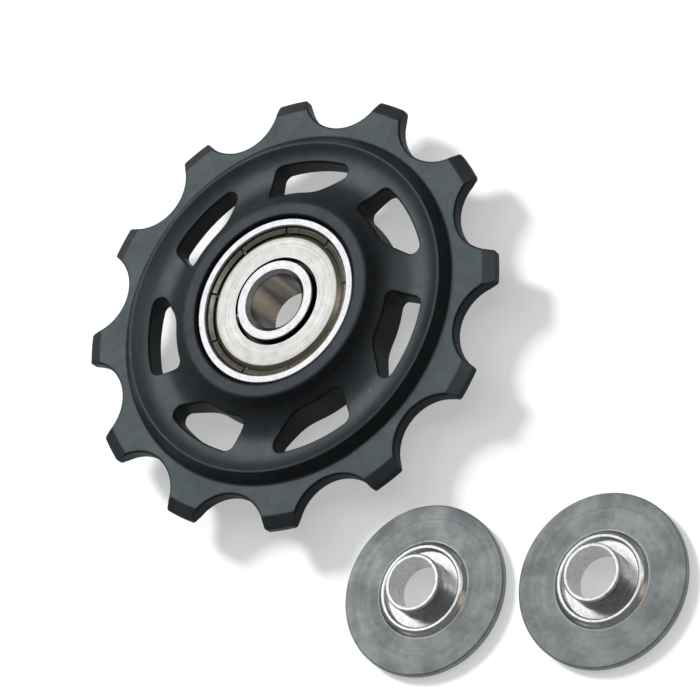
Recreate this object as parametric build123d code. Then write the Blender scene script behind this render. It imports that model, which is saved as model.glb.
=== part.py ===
from build123d import *
import math
import os

# Bicycle derailleur jockey wheel with its ball bearing and its two dust caps. All sizes are mm.
# The wheel lies flat: its axis is Z, the origin is the middle of the bearing, a tooth points along +X.

# Chain and teeth
TEETH = 12
CHAIN_PITCH = 12.7
ROLLER_DIA = 7.75
GAP_ARC_R = 4.87         # arc of each tooth gap, wider than a roller so that the chain drops in
TOOTH_DEPTH = 3.69       # tip circle above root circle
TIP_CORNER_R = 0.35      # rounding of the two corners of each tip, seen along the axis
PLATE_THICK = 1.6        # toothed plate, narrow enough for the inner links
TIP_THICK = 0.7          # what the bevels leave of the plate at the tips
TIP_BEVEL = 1.35         # radial length of those bevels
TOOTH_EDGE = 0.15        # edge break along the tooth gaps

# Raised ring beside the teeth, dished web and slots
RING_TO_ROOT = 1.1       # flat of the toothed plate left below the tooth gaps
RING_SLOPE = 1.05        # radial run of the ring's sloping side
RING_THICK = 3.8
RING_EDGE_BREAK = 0.12
RING_FOOT_R = 0.3
DISH_DEPTH = 1.3        # how deep the web's hollow lies below a straight cone from ring to boss
SLOTS = 7
SLOT_TURN = 4.3          # degrees from +X to the line that the first slot's ends are measured from
RIM_WALL = 2.07          # ring edge to slot
HUB_WALL = 3.19          # bearing seat to slot
SLOT_SQUARE_HUB = 17.7   # degrees: the steep end of a slot, at its hub side
SLOT_SQUARE_RIM = 13.25  # and at its rim side
SLOT_SLANT_RIM = -22.8   # degrees: the slanting end of a slot, at its rim side
SLOT_SLANT_HUB = -8.1    # and at its hub side
SLOT_SQUARE_HUB_ROUND = 0.72
SLOT_SQUARE_RIM_ROUND = 0.96
SLOT_SLANT_RIM_ROUND = 0.88
SLOT_SLANT_HUB_ROUND = 3.8
SLOT_EDGE = 0.12         # edge break round each slot, on both faces

# Boss round the bearing
SEAT_RECESS = 0.3        # bearing faces below the boss faces
BOSS_WALL = 1.4
BOSS_EDGE_BREAK = 0.12
SEAT_CHAMFER = 0.12

# Deep groove ball bearing, 6 x 19 x 6
BEARING_BORE = 6.0
BEARING_OD = 19.0
BEARING_WIDTH = 6.0
OD_CHAMFER = 0.35
BORE_CHAMFER = 0.5
BALLS = 6
BALL_DIA = 3.5
RACE_CONFORMITY = 0.515  # groove arc radius as a share of the ball diameter
BALL_CLEARANCE = 0.04    # ball to each race bottom
RACE_DEPTH = 0.5         # race bottom to shoulder
SHIELD_DEPTH = 1.0       # how deep the shields' ledges lie below the bearing faces
OUTER_LIP_WALL = 1.1     # outer ring's wall at the shield opening
GROOVE_UNDERCUT = 0.15   # shield groove below the lip
LIP_HEIGHT = 0.25
INNER_STEP_WALL = 1.5    # inner ring's wall at its faces
SMALL_CHAMFER = 0.1

# Shields, pressed from sheet, with a rolled and slit rim
SHIELD_SHEET = 0.22
SHIELD_SINK = 0.35       # shield face below the bearing face
SHIELD_GAP = 0.4         # shield bore to inner ring
RIM_CLEARANCE = 0.05     # rolled rim to the groove round it
ROLL_R = 0.24            # middle line of the roll
ROLL_FACETS = 3          # flats that stand for the round of the roll
ROLL_RETURN = 0.38       # sheet that turns back above the ledge
ROLL_DROP = 0.19         # how far that sheet comes down towards the ledge
LEDGE_WIDTH = 0.4        # flat of the shield on the outer ring's ledge
SHIELD_SLOPE = 0.6       # radial run of the slope between flat and rim
SLITS = 9
SLIT_WIDTH = 0.22
SLIT_TURN = -17.0        # degrees from +X to the first slit

# Ribbon cage, two wavy halves riveted together between the balls
CAGE_SHEET = 0.3
CAGE_WIDTH = 1.4
POCKET_CLEARANCE = 0.06
RIVET_R = 0.28
RIVET_HEAD_R = 0.5
RIVET_HEAD = 0.2

# Dust caps, shown taken off and lying beside the wheel with their spigots up
CAP_R = 8.8
CAP_THICK = 0.8
CAP_EDGE_BREAK = 0.12
CAP_BOLT_BORE = 5.1      # clears the M5 cage bolt
SPIGOT_FIT = 0.02        # spigot to bearing bore, each side
SPIGOT_HEIGHT = 2.4      # above the disc
SPIGOT_CHAMFER = 0.12
RIDGE_HEIGHT = 0.5       # ridge that bears on the inner ring and keeps the disc off the boss
RIDGE_TOP_WIDTH = 0.5
RIDGE_GAP = 1.05         # hollow between spigot and ridge
RIDGE_SLOPE = 0.4
CAP_PLACE = (-34.2, 34.0)
CAPS_APART = 1.7         # gap between the two discs
CAPS_TURN = -5.4         # degrees from +X to the line from the front cap to the rear one

# Worked out from the sizes above
PITCH_R = CHAIN_PITCH / (2 * math.sin(math.pi / TEETH))
ROOT_R = PITCH_R - ROLLER_DIA / 2
TIP_R = ROOT_R + TOOTH_DEPTH
RING_FOOT = ROOT_R - RING_TO_ROOT
RING_EDGE = RING_FOOT - RING_SLOPE
SEAT_R = BEARING_OD / 2
BOSS_R = SEAT_R + BOSS_WALL
BOSS_HALF = BEARING_WIDTH / 2 + SEAT_RECESS
SLOT_RIM = RING_EDGE - RIM_WALL
SLOT_HUB = SEAT_R + HUB_WALL
FACE = BEARING_WIDTH / 2
BALL_CIRCLE_R = (BEARING_BORE + BEARING_OD) / 4
BALL_R = BALL_DIA / 2
RACE_ARC_R = RACE_CONFORMITY * BALL_DIA
INNER_RACE_R = BALL_CIRCLE_R - BALL_R - BALL_CLEARANCE
OUTER_RACE_R = BALL_CIRCLE_R + BALL_R + BALL_CLEARANCE
INNER_SHOULDER_R = INNER_RACE_R + RACE_DEPTH
OUTER_SHOULDER_R = OUTER_RACE_R - RACE_DEPTH
LEDGE = FACE - SHIELD_DEPTH
LIP_R = BEARING_OD / 2 - OUTER_LIP_WALL
GROOVE_R = LIP_R + GROOVE_UNDERCUT
INNER_STEP_R = BEARING_BORE / 2 + INNER_STEP_WALL
FLOOR = -BOSS_HALF


def polar(radius, degrees):
    angle = math.radians(degrees)
    return (radius * math.cos(angle), radius * math.sin(angle))


def nearest_vertex(face, point):
    x, y = point
    return min(face.vertices(), key=lambda v: (v.X - x) ** 2 + (v.Y - y) ** 2)


def rounded(face, corner, radius):
    """Rounds the corner of a flat face that lies nearest to a point."""
    return fillet(nearest_vertex(face, corner), radius)


def broken(face, corner, length):
    """Cuts the corner of a flat face that lies nearest to a point."""
    return chamfer(nearest_vertex(face, corner), length)


def turned(face):
    """Turns a face drawn with radius as X and height as Y once round the Z axis."""
    return revolve(Plane.XZ * face, Axis.Z)


def wheel_section():
    half_plate = PLATE_THICK / 2
    seat_top = (SEAT_R, BOSS_HALF - SEAT_CHAMFER)
    boss_in = (SEAT_R + SEAT_CHAMFER, BOSS_HALF)
    boss_out = (BOSS_R, BOSS_HALF)
    ring_edge = (RING_EDGE, RING_THICK / 2)
    ring_foot = (RING_FOOT, half_plate)
    bevel_in = (TIP_R - TIP_BEVEL, half_plate)
    bevel_out = (TIP_R, TIP_THICK / 2)
    run = ring_edge[0] - boss_out[0]
    drop = boss_out[1] - ring_edge[1]
    chord = math.hypot(run, drop)
    dish = (
        (boss_out[0] + ring_edge[0]) / 2 - DISH_DEPTH * drop / chord,
        (boss_out[1] + ring_edge[1]) / 2 - DISH_DEPTH * run / chord,
    )
    edges = []
    for side in (1, -1):
        def at(point):
            return (point[0], side * point[1])
        edges += [
            Line(at(seat_top), at(boss_in)),
            Line(at(boss_in), at(boss_out)),
            ThreePointArc(at(boss_out), at(dish), at(ring_edge)),
            Line(at(ring_edge), at(ring_foot)),
            Line(at(ring_foot), at(bevel_in)),
            Line(at(bevel_in), at(bevel_out)),
        ]
    edges.append(Line(seat_top, (seat_top[0], -seat_top[1])))
    edges.append(Line(bevel_out, (bevel_out[0], -bevel_out[1])))
    face = make_face(edges)
    for side in (1, -1):
        face = broken(face, (boss_out[0], side * boss_out[1]), BOSS_EDGE_BREAK)
        face = broken(face, (ring_edge[0], side * ring_edge[1]), RING_EDGE_BREAK)
        face = rounded(face, (ring_foot[0], side * ring_foot[1]), RING_FOOT_R)
    return face


def tooth_outline():
    gap = Pos(ROOT_R + GAP_ARC_R, 0) * Circle(GAP_ARC_R)
    outline = Circle(TIP_R) - [Rot(0, 0, 360 / TEETH * (i + 0.5)) * gap for i in range(TEETH)]
    return fillet(outline.vertices(), TIP_CORNER_R)


def slot_outline():
    square_hub = polar(SLOT_HUB, SLOT_SQUARE_HUB)
    square_rim = polar(SLOT_RIM, SLOT_SQUARE_RIM)
    slant_rim = polar(SLOT_RIM, SLOT_SLANT_RIM)
    slant_hub = polar(SLOT_HUB, SLOT_SLANT_HUB)
    rim_middle = polar(SLOT_RIM, (SLOT_SQUARE_RIM + SLOT_SLANT_RIM) / 2)
    hub_middle = polar(SLOT_HUB, (SLOT_SQUARE_HUB + SLOT_SLANT_HUB) / 2)
    face = make_face([
        Line(square_hub, square_rim),
        ThreePointArc(square_rim, rim_middle, slant_rim),
        Line(slant_rim, slant_hub),
        ThreePointArc(slant_hub, hub_middle, square_hub),
    ])
    face = rounded(face, slant_hub, SLOT_SLANT_HUB_ROUND)
    face = rounded(face, square_hub, SLOT_SQUARE_HUB_ROUND)
    face = rounded(face, square_rim, SLOT_SQUARE_RIM_ROUND)
    face = rounded(face, slant_rim, SLOT_SLANT_RIM_ROUND)
    return face


def from_axis(point):
    return math.hypot(point.X, point.Y)


def gap_edges(wheel):
    """Edges where the flats of the toothed plate meet the tooth gaps."""
    flat = PLATE_THICK / 2
    on_flat = [e for e in wheel.edges() if abs(abs((e @ 0.5).Z) - flat) < 0.001 and e.geom_type == GeomType.CIRCLE]
    return [e for e in on_flat if from_axis(e @ 0.5) < from_axis(e @ 0) - 0.01]


def slot_edges(wheel):
    """Edges where the slots cut the dished faces; the faces' own seams are circles."""
    picked = []
    for edge in wheel.edges():
        middle = edge @ 0.5
        in_slots = SLOT_HUB - 0.01 < from_axis(middle) < SLOT_RIM + 0.01
        across_wall = abs((edge % 0.5).Z) > 0.9
        if in_slots and not across_wall and edge.geom_type != GeomType.CIRCLE:
            picked.append(edge)
    return picked


def toothed_wheel():
    spoke = SLOT_TURN + (SLOT_SQUARE_HUB + SLOT_SLANT_RIM + 360 / SLOTS) / 2
    wheel = Rot(0, 0, spoke) * turned(wheel_section())
    wheel &= extrude(tooth_outline(), BOSS_HALF + 1, both=True)
    wheel = chamfer(gap_edges(wheel), TOOTH_EDGE)
    slot = extrude(slot_outline(), BOSS_HALF + 1, both=True)
    wheel -= [Rot(0, 0, SLOT_TURN + 360 / SLOTS * i) * slot for i in range(SLOTS)]
    return chamfer(slot_edges(wheel), SLOT_EDGE)


def race_arc(race_r, shoulder_r):
    """Groove of a race as an arc between its two shoulders."""
    centre_r = race_r + RACE_ARC_R if shoulder_r > race_r else race_r - RACE_ARC_R
    half = math.sqrt(RACE_ARC_R ** 2 - (shoulder_r - centre_r) ** 2)
    return half, ThreePointArc((shoulder_r, -half), (race_r, 0), (shoulder_r, half))


def ring_face(race_r, shoulder_r, upper):
    """Section of a bearing ring: its race, then the same corners above and below it."""
    half, race = race_arc(race_r, shoulder_r)
    points = [(shoulder_r, half)] + upper
    edges = [race]
    for side in (1, -1):
        for (r1, z1), (r2, z2) in zip(points, points[1:]):
            edges.append(Line((r1, side * z1), (r2, side * z2)))
    last = points[-1]
    edges.append(Line(last, (last[0], -last[1])))
    return make_face(edges)


def bearing_outer_ring():
    upper = [
        (OUTER_SHOULDER_R, LEDGE),
        (GROOVE_R, LEDGE),
        (GROOVE_R, FACE - LIP_HEIGHT),
        (LIP_R, FACE - LIP_HEIGHT),
        (LIP_R, FACE - SMALL_CHAMFER),
        (LIP_R + SMALL_CHAMFER, FACE),
        (BEARING_OD / 2 - OD_CHAMFER, FACE),
        (BEARING_OD / 2, FACE - OD_CHAMFER),
    ]
    return turned(ring_face(OUTER_RACE_R, OUTER_SHOULDER_R, upper))


def bearing_inner_ring():
    upper = [
        (INNER_SHOULDER_R, LEDGE),
        (INNER_STEP_R, LEDGE),
        (INNER_STEP_R, FACE - SMALL_CHAMFER),
        (INNER_STEP_R - SMALL_CHAMFER, FACE),
        (BEARING_BORE / 2 + BORE_CHAMFER, FACE),
        (BEARING_BORE / 2, FACE - BORE_CHAMFER),
    ]
    return turned(ring_face(INNER_RACE_R, INNER_SHOULDER_R, upper))


def ball(index):
    x, y = polar(BALL_CIRCLE_R, 360 / BALLS * index)
    return Pos(x, y, 0) * Sphere(BALL_R)


def cage_half():
    """Upper half of the cage: a flat ring with an arched pocket over each ball."""
    inner_r = BALL_CIRCLE_R - CAGE_WIDTH / 2
    outer_r = BALL_CIRCLE_R + CAGE_WIDTH / 2
    pocket_r = BALL_R + POCKET_CLEARANCE
    arch_r = pocket_r + CAGE_SHEET
    tall = arch_r + 1
    band = extrude(Circle(outer_r) - Circle(inner_r), tall)
    arch = Rot(0, 90, 0) * Cylinder(arch_r, 2 * CAGE_WIDTH)
    pocket = Rot(0, 90, 0) * Cylinder(pocket_r, 3 * CAGE_WIDTH)
    tabs = Pos(0, 0, CAGE_SHEET / 2) * Cylinder(outer_r + 1, CAGE_SHEET)
    solid = tabs
    for i in range(BALLS):
        turn = Rot(0, 0, 360 / BALLS * i) * Pos(BALL_CIRCLE_R, 0, 0)
        solid += turn * arch
    for i in range(BALLS):
        turn = Rot(0, 0, 360 / BALLS * i) * Pos(BALL_CIRCLE_R, 0, 0)
        solid -= turn * pocket
        x, y = polar(BALL_CIRCLE_R, 360 / BALLS * (i + 0.5))
        solid -= Pos(x, y, 0) * Cylinder(RIVET_R, 4 * CAGE_SHEET)
    return band & solid


def cage_rivet(index):
    """Rivet through both cage halves, headed on both sides."""
    x, y = polar(BALL_CIRCLE_R, 360 / BALLS * (index + 0.5))
    upper = [
        (RIVET_R, CAGE_SHEET),
        (RIVET_HEAD_R, CAGE_SHEET),
        (RIVET_HEAD_R - RIVET_HEAD / 2, CAGE_SHEET + RIVET_HEAD),
        (0, CAGE_SHEET + RIVET_HEAD),
    ]
    lower = [(r, -z) for r, z in reversed(upper)]
    return Pos(x, y, 0) * turned(make_face(Polyline(*upper, *lower, close=True)))


def front_shield():
    """Sheet of one thickness: flat, slope, ledge and a roll that turns back, then the slits."""
    t = SHIELD_SHEET
    bore_r = INNER_STEP_R + SHIELD_GAP
    roll_centre = GROOVE_R - RIM_CLEARANCE - t / 2 - ROLL_R
    ledge_in = roll_centre - LEDGE_WIDTH
    flat_out = ledge_in - SHIELD_SLOPE
    low = LEDGE + t / 2
    high = FACE - SHIELD_SINK - t / 2
    roll_top = low + 2 * ROLL_R
    points = [(bore_r, high), (flat_out, high), (ledge_in, low)]
    for angle in range(-90, 91, 180 // ROLL_FACETS):
        x, z = polar(ROLL_R, angle)
        points.append((roll_centre + x, low + ROLL_R + z))
    points.append((roll_centre - ROLL_RETURN, roll_top - ROLL_DROP))
    shield = turned(trace(Polyline(*points), t))
    slit_in = roll_centre - ROLL_RETURN - t
    slit_low = low + t / 2 + RIM_CLEARANCE
    slit_high = roll_top + t
    place = Pos((slit_in + GROOVE_R) / 2, 0, (slit_low + slit_high) / 2)
    slit = place * Box(GROOVE_R - slit_in, SLIT_WIDTH, slit_high - slit_low)
    return shield - [Rot(0, 0, SLIT_TURN + 360 / SLITS * i) * slit for i in range(SLITS)]


def dust_cap(place):
    disc_top = CAP_THICK
    spigot_r = BEARING_BORE / 2 - SPIGOT_FIT
    bolt_r = CAP_BOLT_BORE / 2
    ridge_in = spigot_r + RIDGE_GAP
    ridge_top = disc_top + RIDGE_HEIGHT
    spigot_top = disc_top + SPIGOT_HEIGHT
    section = [
        (bolt_r, 0),
        (bolt_r, spigot_top),
        (spigot_r - SPIGOT_CHAMFER, spigot_top),
        (spigot_r, spigot_top - SPIGOT_CHAMFER),
        (spigot_r, disc_top),
        (ridge_in - SPIGOT_FIT, disc_top),
        (ridge_in, ridge_top),
        (ridge_in + RIDGE_TOP_WIDTH, ridge_top),
        (ridge_in + RIDGE_TOP_WIDTH + RIDGE_SLOPE, disc_top),
        (CAP_R, disc_top),
        (CAP_R, 0),
    ]
    face = make_face(Polyline(*section, close=True))
    for corner in ((CAP_R, disc_top), (CAP_R, 0), (ridge_in, ridge_top), (ridge_in + RIDGE_TOP_WIDTH, ridge_top)):
        face = broken(face, corner, CAP_EDGE_BREAK)
    return Pos(place[0], place[1], FLOOR) * turned(face)


def build():
    rear_side = Rot(180, 0, 0)
    aside = polar(2 * CAP_R + CAPS_APART, CAPS_TURN)
    nodes = {
        "toothed_wheel": toothed_wheel(),
        "bearing_outer_ring": bearing_outer_ring(),
        "bearing_inner_ring": bearing_inner_ring(),
        "front_shield": front_shield(),
        "rear_shield": rear_side * front_shield(),
        "cage_front_half": cage_half(),
        "cage_rear_half": rear_side * cage_half(),
        "front_dust_cap": dust_cap(CAP_PLACE),
        "rear_dust_cap": dust_cap((CAP_PLACE[0] + aside[0], CAP_PLACE[1] + aside[1])),
    }
    for i in range(BALLS):
        nodes[f"ball_{i + 1}"] = ball(i)
        nodes[f"cage_rivet_{i + 1}"] = cage_rivet(i)
    return nodes


os.makedirs("parts", exist_ok=True)
for name, shape in build().items():
    export_step(shape, f"parts/{name}.step")
    print(name, round(shape.volume, 3), "mm3")
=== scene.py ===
import bpy
import math
from mathutils import Matrix, Vector

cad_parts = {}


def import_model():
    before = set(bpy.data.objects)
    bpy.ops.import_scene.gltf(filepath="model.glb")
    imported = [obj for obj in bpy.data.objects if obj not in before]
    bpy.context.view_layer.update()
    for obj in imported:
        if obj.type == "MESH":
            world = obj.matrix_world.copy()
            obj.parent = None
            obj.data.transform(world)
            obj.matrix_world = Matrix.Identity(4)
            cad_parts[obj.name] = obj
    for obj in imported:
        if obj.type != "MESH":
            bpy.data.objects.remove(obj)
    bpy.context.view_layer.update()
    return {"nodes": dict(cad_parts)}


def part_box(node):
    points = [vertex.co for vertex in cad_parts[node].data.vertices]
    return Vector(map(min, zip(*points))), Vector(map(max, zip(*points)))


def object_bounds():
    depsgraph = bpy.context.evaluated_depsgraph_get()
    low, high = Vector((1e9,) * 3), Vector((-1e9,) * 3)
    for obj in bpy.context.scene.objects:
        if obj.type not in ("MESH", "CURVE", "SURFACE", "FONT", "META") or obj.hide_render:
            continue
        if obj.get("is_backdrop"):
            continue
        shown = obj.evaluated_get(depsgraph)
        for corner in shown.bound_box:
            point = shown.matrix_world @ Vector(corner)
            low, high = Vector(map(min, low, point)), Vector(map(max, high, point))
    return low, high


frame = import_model()
MM = 0.001

# The photograph's view of the wheel. Directions and places are in the wheel's own frame, places in mm.
CAMERA_PLACE = Vector((-144.97, 129.02, 244.96))
CAMERA_RIGHT = Vector((-0.87509, -0.02389, -0.48338))
CAMERA_UP = Vector((-0.17642, -0.91431, 0.36457))
PHOTO_WIDTH = 700
FOCAL_PX = 3195.4
SENSOR_MM = 36.0
WIDER = 0.935            # a little more than the photograph shows, as the caps have their real size here
SHIFT_RIGHT_PX = 10
SHIFT_DOWN_PX = 10
CLIP_NEAR = 0.01
CLIP_FAR = 10.0

# Directions from the wheel to the lamps
KEY_FROM = Vector((5.23, -4.91, 4.1))          # low, from the photograph's upper left, for the soft shadow
SOFTBOX_FROM = Vector((0.493, -0.443, 0.749))  # where the flat faces reflect towards the camera
FILL_FROM = Vector((-0.236, -0.272, 0.933))    # lights slopes that lean a little to the photograph's right
EDGE_FROM = Vector((-0.62, -0.20, 0.76))       # draws the thin bright lines on edges that face right
WARM_FROM = Vector((-0.93, 0.25, 0.28))        # gives the metals a few warm reflections

WHITE = (1, 1, 1)
WARM_WHITE = (1.0, 0.72, 0.5)
WORLD_STRENGTH = 0.2

# Name, direction, distance and width in metres, power, colour, and whether reflections show the lamp
LAMPS = [
    ("key", KEY_FROM, 0.8, 0.16, 12.0, WHITE, False),
    ("softbox", SOFTBOX_FROM, 0.8, 0.54, 1.37, WHITE, True),
    ("fill", FILL_FROM, 0.5, 0.3, 0.24, WHITE, True),
    ("edge", EDGE_FROM, 0.5, 0.06, 0.1, WHITE, True),
    ("warm_side", WARM_FROM, 0.5, 0.2, 0.06, WARM_WHITE, True),
]

# Floor, in metres where it is a length
FLOOR_REACH = 1.5
FLOOR_DROP = 0.00002     # how far it lies below the pieces
FLOOR_TONE = (0.50, 0.50, 0.505, 1)
FLOOR_LIFT = 0.42        # light of its own that the camera and reflections see

# Sizes in mm: the boss's face above the middle, then radii in the bearing and the caps
BOSS_FACE = 3.3
BORE_WALL = 3.05
STEP_WALL = 4.46         # from here the inner ring's wall inside the shield's bore is painted near black, as shade in the gap
GAP_SHADE_END = 5.4         # up to here
SHIELD_FLAT = 7.1        # the pale flat ends and the slope begins
SHIELD_LEDGE = 7.7       # the slope ends and the rolled rim begins
CAP_DRAWN = 5.0          # spigot, hollow and ridge of a cap

# Edge rounding that only the shading shows, in mm
RESIN_ROUND = 0.3
RING_ROUND = 0.06
SHIELD_ROUND = 0.05
CAGE_ROUND = 0.04
BALL_ROUND = 0.01
CAP_ROUND = 0.12
SPLIT_DEGREES = 28       # edges sharper than this stay sharp on the moulded wheel

# Tones of the resin, then how its gloss is tinted; the walls' far weaker gloss is painted shade
RESIN_DARK = (0.0036, 0.0043, 0.0050, 1)
RESIN_PALE = (0.0068, 0.0080, 0.0090, 1)
RESIN_STREAK = (0.0108, 0.0126, 0.0142, 1)
RESIN_GRAIN = (0.019, 0.0215, 0.024, 1)
RESIN_DUST = (0.10, 0.105, 0.11, 1)
# painted shade: the walls' gloss tint is far weaker than the faces', which keeps them dark
WALL_SHADE_GLOSS = (0.20, 0.22, 0.24, 1)
GLOSS_FACE = (0.77, 0.93, 1.0, 1)
GLOSS_BOSS = (0.58, 0.66, 0.76, 1)

# Tones of the metals
RING_BRIGHT = (0.53, 0.53, 0.545, 1)
RING_DULL = (0.45, 0.45, 0.47, 1)
# painted shade in the bore, streaked with painted warm reflection
BORE_SHADE = (0.11, 0.11, 0.106, 1)
BORE_WARM_REFLECTION = (0.52, 0.43, 0.33, 1)
# painted shade, near black, on the inner ring's wall in the gap
GAP_SHADE = (0.025, 0.023, 0.02, 1)
SHIELD_BRIGHT = (0.56, 0.56, 0.545, 1)
SHIELD_DULL = (0.51, 0.51, 0.49, 1)
# the slope's and rim's dark olive tones are painted shade and reflection; the rim's spots vary at random
SLOPE_SHADE_AND_REFLECTION = (0.27, 0.25, 0.19, 1)
RIM_BRIGHT = (0.36, 0.35, 0.30, 1)
RIM_DULL = (0.24, 0.225, 0.18, 1)
CAGE_BRIGHT = (0.62, 0.60, 0.55, 1)
CAGE_DULL = (0.48, 0.46, 0.42, 1)
BALL_BRIGHT = (0.86, 0.86, 0.88, 1)
BALL_DULL = (0.80, 0.80, 0.83, 1)
DISC_BRIGHT = (0.30, 0.32, 0.325, 1)
DISC_DULL = (0.235, 0.255, 0.26, 1)
DISC_SPOT = (0.16, 0.175, 0.18, 1)
DRAWN_BRIGHT = (0.62, 0.63, 0.63, 1)
DRAWN_DULL = (0.46, 0.47, 0.47, 1)


class Tree:
    """Builds a material's nodes. A socket has a name or number, and takes a value or a node's output."""

    def __init__(self, name):
        self.material = bpy.data.materials.new(name)
        self.material.use_nodes = True
        self.tree = self.material.node_tree
        self.tree.nodes.clear()
        self.out = self.tree.nodes.new("ShaderNodeOutputMaterial")
        self.at = self.add("TexCoord").outputs["Object"]

    def put(self, node, key, value):
        """Links an output to a socket, or sets the socket's value."""
        if isinstance(value, bpy.types.NodeSocket):
            self.tree.links.new(value, node.inputs[key])
        else:
            node.inputs[key].default_value = value

    def add(self, kind, values=None, **settings):
        """Adds a shader node with its settings and its sockets' values."""
        node = self.tree.nodes.new("ShaderNode" + kind)
        for key, value in settings.items():
            setattr(node, key, value)
        for key, value in (values or {}).items():
            self.put(node, key, value)
        return node

    def noise(self, vector, scale, detail=4.0, roughness=0.5):
        """Noise from 0 to 1. On a place in metres, the scale is cells per metre."""
        values = {"Vector": vector, "Scale": scale, "Detail": detail, "Roughness": roughness}
        return self.add("TexNoise", values).outputs["Fac"]

    def remap(self, value, low, high, to_low, to_high):
        """Maps low to to_low and high to to_high, and stops there."""
        values = {"Value": value, "From Min": low, "From Max": high, "To Min": to_low, "To Max": to_high}
        return self.add("MapRange", values).outputs["Result"]

    def mask(self, value, low, high):
        """0 up to low, 1 from high on."""
        return self.remap(value, low, high, 0.0, 1.0)

    def outside(self, radius, from_mm, blend_mm):
        """0 up to a radius given in mm, and 1 from a little further out."""
        return self.mask(radius, from_mm * MM, (from_mm + blend_mm) * MM)

    def inside(self, radius, to_mm, blend_mm):
        """1 up to a radius given in mm, and 0 from a little further out."""
        return self.remap(radius, to_mm * MM, (to_mm + blend_mm) * MM, 1.0, 0.0)

    def maths(self, operation, a, b=0.0):
        """One step of arithmetic."""
        return self.add("Math", {0: a, 1: b}, operation=operation).outputs[0]

    def mix(self, factor, a, b):
        """Colour a at factor 0, colour b at factor 1."""
        return self.add("Mix", {0: factor, 6: a, 7: b}, data_type="RGBA").outputs[2]

    def mix_value(self, factor, a, b):
        """Value a at factor 0, value b at factor 1."""
        return self.add("Mix", {0: factor, 2: a, 3: b}, data_type="FLOAT").outputs[0]

    def polar(self, centre=(0.0, 0.0)):
        """Distance from an axis along Z in metres, angle round it in radians, and height."""
        values = {0: self.at, 1: (centre[0], centre[1], 0.0)}
        here = self.add("VectorMath", values, operation="SUBTRACT").outputs["Vector"]
        x, y, z = self.add("SeparateXYZ", {"Vector": here}).outputs
        squares = self.maths("ADD", self.maths("MULTIPLY", x, x), self.maths("MULTIPLY", y, y))
        return self.maths("SQRT", squares), self.maths("ARCTAN2", y, x), z

    def circle(self, turn, reach):
        """X and Y of a point on a circle, so that noise laid round an axis has no seam."""
        return [self.maths("MULTIPLY", self.maths(way, turn), reach) for way in ("COSINE", "SINE")]

    def vector(self, x, y, z):
        """A vector from its three parts."""
        return self.add("CombineXYZ", {"X": x, "Y": y, "Z": z}).outputs["Vector"]

    def normal(self, relief, strength, depth_mm, round_mm):
        """Shading normal of rounded edges with a fine relief on top."""
        bevel = self.add("Bevel", {"Radius": round_mm * MM}, samples=4).outputs["Normal"]
        values = {"Strength": strength, "Distance": depth_mm * MM, "Height": relief, "Normal": bevel}
        return self.add("Bump", values).outputs["Normal"]

    def finish(self, shader):
        """Connects the shader and gives back the material."""
        self.tree.links.new(shader, self.out.inputs["Surface"])
        return self.material


def set_material(node_names, material):
    """Gives one material to some of the frame's nodes."""
    for name in node_names:
        materials = frame["nodes"][name].data.materials
        materials.clear()
        materials.append(material)


def resin_tone(t, cloud, streaks, fine, grain):
    """Near black, with clouds, flow streaks, grain and a few specks of dust."""
    tone = t.mix(t.mask(cloud, 0.3, 0.7), RESIN_DARK, RESIN_PALE)
    tone = t.mix(t.remap(streaks, 0.4, 0.75, 0.0, 0.6), tone, RESIN_STREAK)
    tone = t.mix(t.remap(grain, 0.4, 0.75, 0.0, 0.3), tone, RESIN_GRAIN)
    specks = t.add("TexVoronoi", {"Vector": t.at, "Scale": 420.0}).outputs["Distance"]
    dust = t.maths("MULTIPLY", t.remap(specks, 0.05, 0.11, 0.55, 0.0), t.mask(fine, 0.56, 0.62))
    return t.mix(dust, tone, RESIN_DUST)


def wheel_material():
    """Satin resin, near black: fine grain, flow streaks and a cloudy gloss; walls are rougher, and their far
    weaker gloss tint is painted shade that keeps them dark.
    """
    t = Tree("wheel_resin")
    radius, turn, height = t.polar()
    x, y = t.circle(turn, 9.0)
    flow = t.vector(x, y, t.maths("MULTIPLY", radius, 260.0))
    streaks = t.noise(flow, 1.6, 3.0, 0.55)
    cloud = t.noise(t.at, 170, 5.0, 0.6)
    fine = t.noise(t.at, 1300, 4.0, 0.6)
    grain = t.noise(t.at, 5200, 2.0, 0.5)

    lean = t.add("SeparateXYZ", {"Vector": t.add("TexCoord").outputs["Normal"]}).outputs["Z"]
    face = t.mask(t.maths("ABSOLUTE", lean), 0.78, 0.97)
    boss = t.mask(t.maths("ABSOLUTE", height), (BOSS_FACE - 0.1) * MM, (BOSS_FACE - 0.02) * MM)
    # walls get a far weaker gloss tint than faces: painted shade
    gloss = t.mix(boss, t.mix(face, WALL_SHADE_GLOSS, GLOSS_FACE), GLOSS_BOSS)

    rough = t.maths("ADD", t.remap(cloud, 0.3, 0.7, 0.28, 0.38), t.remap(fine, 0.3, 0.7, -0.03, 0.04))
    rough = t.maths("ADD", rough, t.remap(streaks, 0.35, 0.7, -0.03, 0.04))
    rough = t.mix_value(face, 0.62, rough)
    rough = t.maths("ADD", rough, t.maths("MULTIPLY", boss, 0.05))
    relief = t.maths("ADD", t.maths("MULTIPLY", grain, 0.4), fine)
    shader = t.add("BsdfPrincipled", {
        "Base Color": resin_tone(t, cloud, streaks, fine, grain),
        "Roughness": rough,
        "Normal": t.normal(relief, 0.2, 0.02, RESIN_ROUND),
        "Specular IOR Level": 0.8,
        "Specular Tint": gloss,
        "IOR": 1.5,
    })
    return t.finish(shader.outputs["BSDF"])


def ring_lines(t, radius, turn, height, scale):
    """Fine lines that run round an axis, as grinding, turning or pressing leaves them."""
    x, y = t.circle(turn, 0.00025)
    return t.noise(t.vector(t.maths("ADD", radius, x), y, height), scale, 3.0, 0.7)


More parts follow.
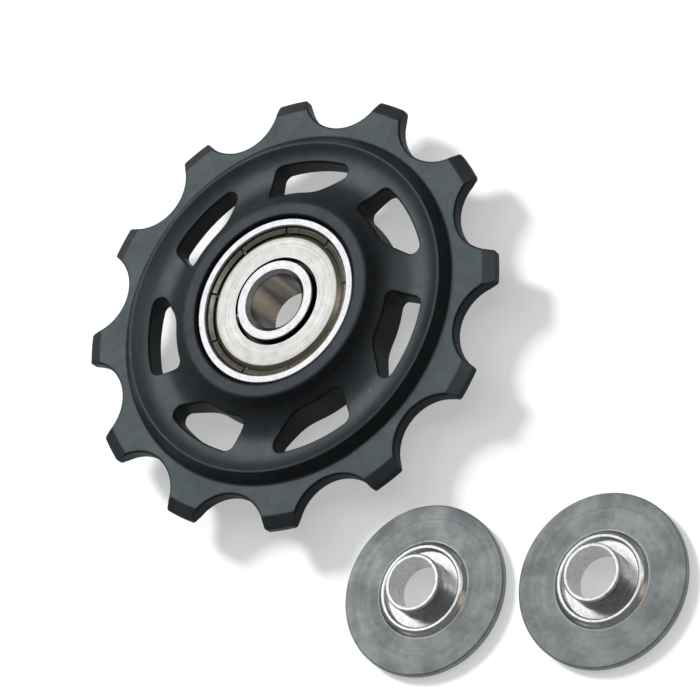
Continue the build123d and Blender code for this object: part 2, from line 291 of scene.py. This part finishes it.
def metal(t, tone, roughness, relief, strength, round_mm):
    """Finishes a metal material."""
    normal = t.normal(relief, strength, 0.006, round_mm)
    values = {"Base Color": tone, "Metallic": 1.0, "Roughness": roughness, "Normal": normal}
    return t.finish(t.add("BsdfPrincipled", values).outputs["BSDF"])


def ground_steel():
    """Bearing steel: ground bright faces; the bore is painted darker as shade, with streaks of painted warm
    reflection, and the inner ring's wall in the shield's bore is painted near black as shade in the gap.
    """
    t = Tree("ground_steel")
    radius, turn, height = t.polar()
    lines = ring_lines(t, radius, turn, height, 7000)
    spots = t.noise(t.at, 1400, 5.0, 0.65)
    x, y = t.circle(turn, 1.0)
    # streaks of painted warm reflection round the bore
    bore_streaks = t.noise(t.vector(x, y, t.maths("MULTIPLY", height, 30.0)), 1.1, 1.5, 0.5)
    tone = t.mix(t.mask(spots, 0.35, 0.7), RING_BRIGHT, RING_DULL)
    tone = t.mix(t.inside(radius, BORE_WALL, 0.1), tone, t.mix(t.mask(bore_streaks, 0.46, 0.62), BORE_SHADE, BORE_WARM_REFLECTION))
    # painted shade in the gap between the inner ring and the shield
    gap_shade_mask = t.maths("MULTIPLY", t.outside(radius, STEP_WALL, 0.02), t.inside(radius, GAP_SHADE_END, 0.1))
    tone = t.mix(gap_shade_mask, tone, GAP_SHADE)
    roughness = t.maths("ADD", t.remap(lines, 0.3, 0.7, 0.22, 0.33), t.remap(spots, 0.4, 0.7, -0.02, 0.04))
    return metal(t, tone, roughness, lines, 0.35, RING_ROUND)


def shield_sheet():
    """Pressed sheet: pale brushed flat; the slope and rolled rim are painted dark olive as shade and
    reflection, and the flat's outer edge fades towards them as painted shade.
    """
    t = Tree("shield_sheet")
    radius, turn, height = t.polar()
    lines = ring_lines(t, radius, turn, height, 3800)
    cloud = t.noise(t.at, 260, 4.0, 0.6)
    spots = t.noise(t.at, 1100, 5.0, 0.7)
    flat = t.mix(t.mask(cloud, 0.35, 0.65), SHIELD_BRIGHT, SHIELD_DULL)
    # painted shade fading in along the flat's outer edge
    flat_edge_shade = t.remap(radius, (SHIELD_FLAT - 0.3) * MM, SHIELD_FLAT * MM, 0.0, 0.35)
    tone = t.mix(flat_edge_shade, flat, SLOPE_SHADE_AND_REFLECTION)
    tone = t.mix(t.outside(radius, SHIELD_FLAT, 0.12), tone, SLOPE_SHADE_AND_REFLECTION)
    # rolled rim: painted olive shade and reflection, with random spots
    rim = t.mix(t.mask(spots, 0.4, 0.65), RIM_BRIGHT, RIM_DULL)
    tone = t.mix(t.outside(radius, SHIELD_LEDGE - 0.05, 0.1), tone, rim)
    roughness = t.maths("ADD", t.remap(lines, 0.3, 0.7, 0.31, 0.43), t.remap(spots, 0.4, 0.7, -0.02, 0.05))
    return metal(t, tone, roughness, lines, 0.4, SHIELD_ROUND)


def cage_sheet():
    """Pressed sheet of the cage and its rivets, a little warmer and duller than the rings."""
    t = Tree("cage_sheet")
    lines = ring_lines(t, *t.polar(), 3000)
    spots = t.noise(t.at, 900, 5.0, 0.7)
    tone = t.mix(t.mask(spots, 0.35, 0.65), CAGE_BRIGHT, CAGE_DULL)
    return metal(t, tone, t.remap(lines, 0.3, 0.7, 0.25, 0.4), spots, 0.3, CAGE_ROUND)


def ball_steel():
    """Polished steel with hardly any texture."""
    t = Tree("ball_steel")
    spots = t.noise(t.at, 1500, 4.0, 0.6)
    tone = t.mix(t.mask(spots, 0.35, 0.65), BALL_BRIGHT, BALL_DULL)
    return metal(t, tone, t.remap(spots, 0.4, 0.7, 0.05, 0.1), spots, 0.05, BALL_ROUND)


def cap_material(cap):
    """Dull pressed disc with darker smudges, and a brighter drawn spigot and ridge."""
    low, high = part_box(cap)
    t = Tree(cap + "_metal")
    radius, turn, height = t.polar(((low[0] + high[0]) / 2, (low[1] + high[1]) / 2))
    lines = ring_lines(t, radius, turn, height, 2600)
    smudge = t.noise(t.at, 330, 5.0, 0.62)
    spots = t.noise(t.at, 1500, 5.0, 0.7)
    disc = t.mix(t.mask(smudge, 0.36, 0.64), DISC_BRIGHT, DISC_DULL)
    disc = t.mix(t.remap(spots, 0.5, 0.72, 0.0, 0.5), disc, DISC_SPOT)
    drawn = t.mix(t.mask(spots, 0.4, 0.7), DRAWN_BRIGHT, DRAWN_DULL)
    middle = t.inside(radius, CAP_DRAWN - 0.2, 0.3)
    dull = t.maths("ADD", t.remap(lines, 0.3, 0.7, 0.40, 0.5), t.remap(smudge, 0.4, 0.65, -0.03, 0.06))
    roughness = t.mix_value(middle, dull, t.remap(lines, 0.3, 0.7, 0.18, 0.3))
    relief = t.maths("ADD", t.maths("MULTIPLY", spots, 0.8), lines)
    return metal(t, t.mix(middle, disc, drawn), roughness, relief, 0.5, CAP_ROUND)


def floor_material():
    """What the camera and reflections see of the white floor is lifted, so that shadows on it stay pale."""
    t = Tree("white_floor")
    path = t.add("LightPath").outputs
    seen = t.maths("MAXIMUM", path["Is Glossy Ray"], path["Is Transmission Ray"])
    seen = t.maths("MAXIMUM", path["Is Camera Ray"], seen)
    diffuse = t.add("BsdfDiffuse", {"Color": FLOOR_TONE}).outputs["BSDF"]
    glow = t.add("Emission", {"Color": (*WHITE, 1), "Strength": FLOOR_LIFT}).outputs["Emission"]
    lifted = t.add("AddShader", {0: diffuse, 1: glow}).outputs[0]
    return t.finish(t.add("MixShader", {0: seen, 1: diffuse, 2: lifted}).outputs[0])


def floor():
    """A flat square just below the pieces."""
    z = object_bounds()[0][2] - FLOOR_DROP
    corners = [(x * FLOOR_REACH, y * FLOOR_REACH, z) for x, y in ((-1, -1), (1, -1), (1, 1), (-1, 1))]
    mesh = bpy.data.meshes.new("floor")
    mesh.from_pydata(corners, [], [(0, 1, 2, 3)])
    mesh.materials.append(floor_material())
    obj = bpy.data.objects.new("floor", mesh)
    bpy.context.scene.collection.objects.link(obj)
    obj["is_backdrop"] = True


def lamp(name, direction, distance, width, power, colour, in_reflections):
    """A round lamp that shines on the wheel's middle and that the camera never sees."""
    data = bpy.data.lights.new(name, "AREA")
    data.shape = "DISK"
    data.size = width
    data.energy = power
    data.color = colour
    obj = bpy.data.objects.new(name, data)
    obj.location = direction.normalized() * distance
    obj.rotation_euler = direction.to_track_quat("Z", "Y").to_euler()
    obj.visible_glossy = in_reflections
    obj.visible_camera = False
    bpy.context.scene.collection.objects.link(obj)


def world():
    """Even white light from all sides."""
    studio = bpy.data.worlds.new("studio")
    bpy.context.scene.world = studio
    studio.use_nodes = True
    nodes = studio.node_tree.nodes
    nodes.clear()
    out = nodes.new("ShaderNodeOutputWorld")
    back = nodes.new("ShaderNodeBackground")
    back.inputs["Color"].default_value = (*WHITE, 1)
    back.inputs["Strength"].default_value = WORLD_STRENGTH
    studio.node_tree.links.new(back.outputs[0], out.inputs[0])


def camera():
    """The photograph's camera, with a slightly wider view."""
    data = bpy.data.cameras.new("camera")
    data.sensor_fit = "HORIZONTAL"
    data.sensor_width = SENSOR_MM
    data.lens = FOCAL_PX * WIDER / PHOTO_WIDTH * SENSOR_MM
    data.shift_x = SHIFT_RIGHT_PX / PHOTO_WIDTH
    data.shift_y = -SHIFT_DOWN_PX / PHOTO_WIDTH
    data.clip_start = CLIP_NEAR
    data.clip_end = CLIP_FAR
    obj = bpy.data.objects.new("camera", data)
    right = CAMERA_RIGHT.normalized()
    back = right.cross(CAMERA_UP).normalized()
    up = back.cross(right)
    turn = Matrix((right, up, back)).transposed().to_4x4()
    obj.matrix_world = Matrix.Translation(CAMERA_PLACE * MM) @ turn
    bpy.context.scene.collection.objects.link(obj)
    bpy.context.scene.camera = obj


def even_shading(node):
    """Takes the shading from the faces themselves, so that no stray normal darkens the rim of a slot."""
    modifiers = frame["nodes"][node].modifiers
    split = modifiers.new("split", "EDGE_SPLIT")
    split.use_edge_angle = True
    split.use_edge_sharp = False
    split.split_angle = math.radians(SPLIT_DEGREES)
    even = modifiers.new("even", "WEIGHTED_NORMAL")
    even.mode = "FACE_AREA"
    even.weight = 50
    even.keep_sharp = False


NODES = list(frame["nodes"])
even_shading("toothed_wheel")
set_material(["toothed_wheel"], wheel_material())
set_material(["bearing_outer_ring", "bearing_inner_ring"], ground_steel())
set_material(["front_shield", "rear_shield"], shield_sheet())
set_material([name for name in NODES if name.startswith("cage_")], cage_sheet())
set_material([name for name in NODES if name.startswith("ball_")], ball_steel())
for dust_cap in ("front_dust_cap", "rear_dust_cap"):
    set_material([dust_cap], cap_material(dust_cap))

floor()
world()
for settings in LAMPS:
    lamp(*settings)
camera()
bpy.context.scene.view_settings.view_transform = "Standard"
